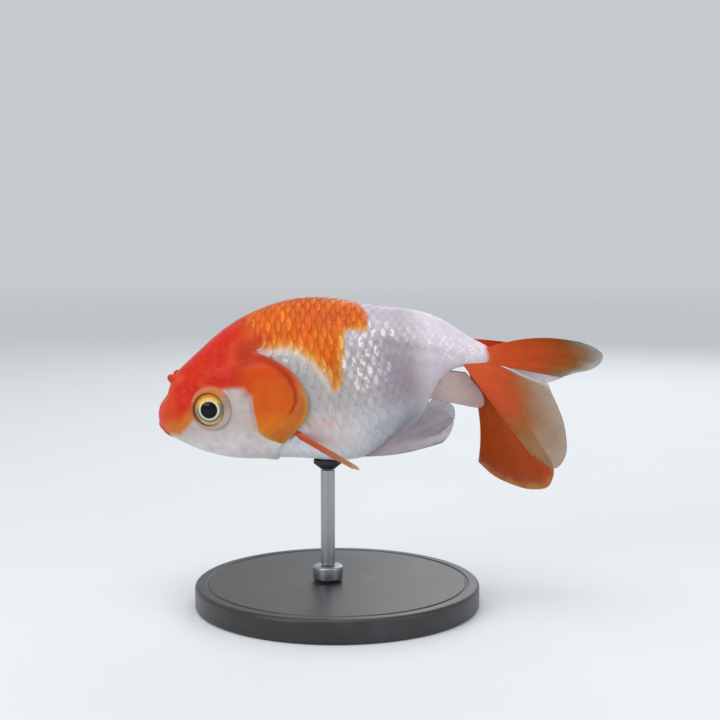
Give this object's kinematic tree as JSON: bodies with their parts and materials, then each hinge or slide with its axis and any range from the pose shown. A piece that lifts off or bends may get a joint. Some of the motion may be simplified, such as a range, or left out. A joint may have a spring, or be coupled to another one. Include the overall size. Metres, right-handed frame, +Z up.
{
  "type": "goldfish display model",
  "caption": "Young lionhead goldfish, red and white, as a still life-size model over a round stand",
  "frame": {"origin": "centre of the stand base's underside, which rests on the table", "axes": "+Z up; the fish heads towards -X with its nose 10 degrees down, and its left side faces -Y"},
  "size_m": [0.0925, 0.06, 0.0651],
  "materials": {
    "red_skin": "smooth wet skin",
    "lip_orange": "smooth wet skin",
    "nostril_red": "smooth wet skin",
    "eye_gold": "clear dome over a gold ring and a black pupil",
    "gill_cover_orange": "smooth wet skin",
    "white_skin": "pearly scales",
    "fin_orange": "thin rayed sheet, clear towards its edge",
    "fin_clear": "thin rayed sheet, nearly clear",
    "stand_black": "satin black",
    "stand_steel": "brushed"
  },
  "bodies": {
    "root": {"head": "red_skin", "upper_lip": "lip_orange", "lower_lip": "lip_orange", "nostril_left": "nostril_red", "nostril_right": "nostril_red", "eye_left": "eye_gold", "eye_right": "eye_gold", "gill_cover_left": "gill_cover_orange", "gill_cover_right": "gill_cover_orange", "trunk": "white_skin", "tail_base": "white_skin", "pectoral_fin_left": "fin_orange", "pectoral_fin_right": "fin_orange", "pelvic_fin_left": "fin_clear", "pelvic_fin_right": "fin_clear", "anal_fin_left": "fin_clear", "anal_fin_right": "fin_clear", "tail_upper_left": "fin_orange", "tail_upper_right": "fin_orange", "tail_lower_left": "fin_orange", "tail_lower_right": "fin_orange", "stand_base": "stand_black", "stand_collar": "stand_steel", "stand_rod": "stand_steel", "stand_pad": "stand_black"}
  },
  "joints": []
}
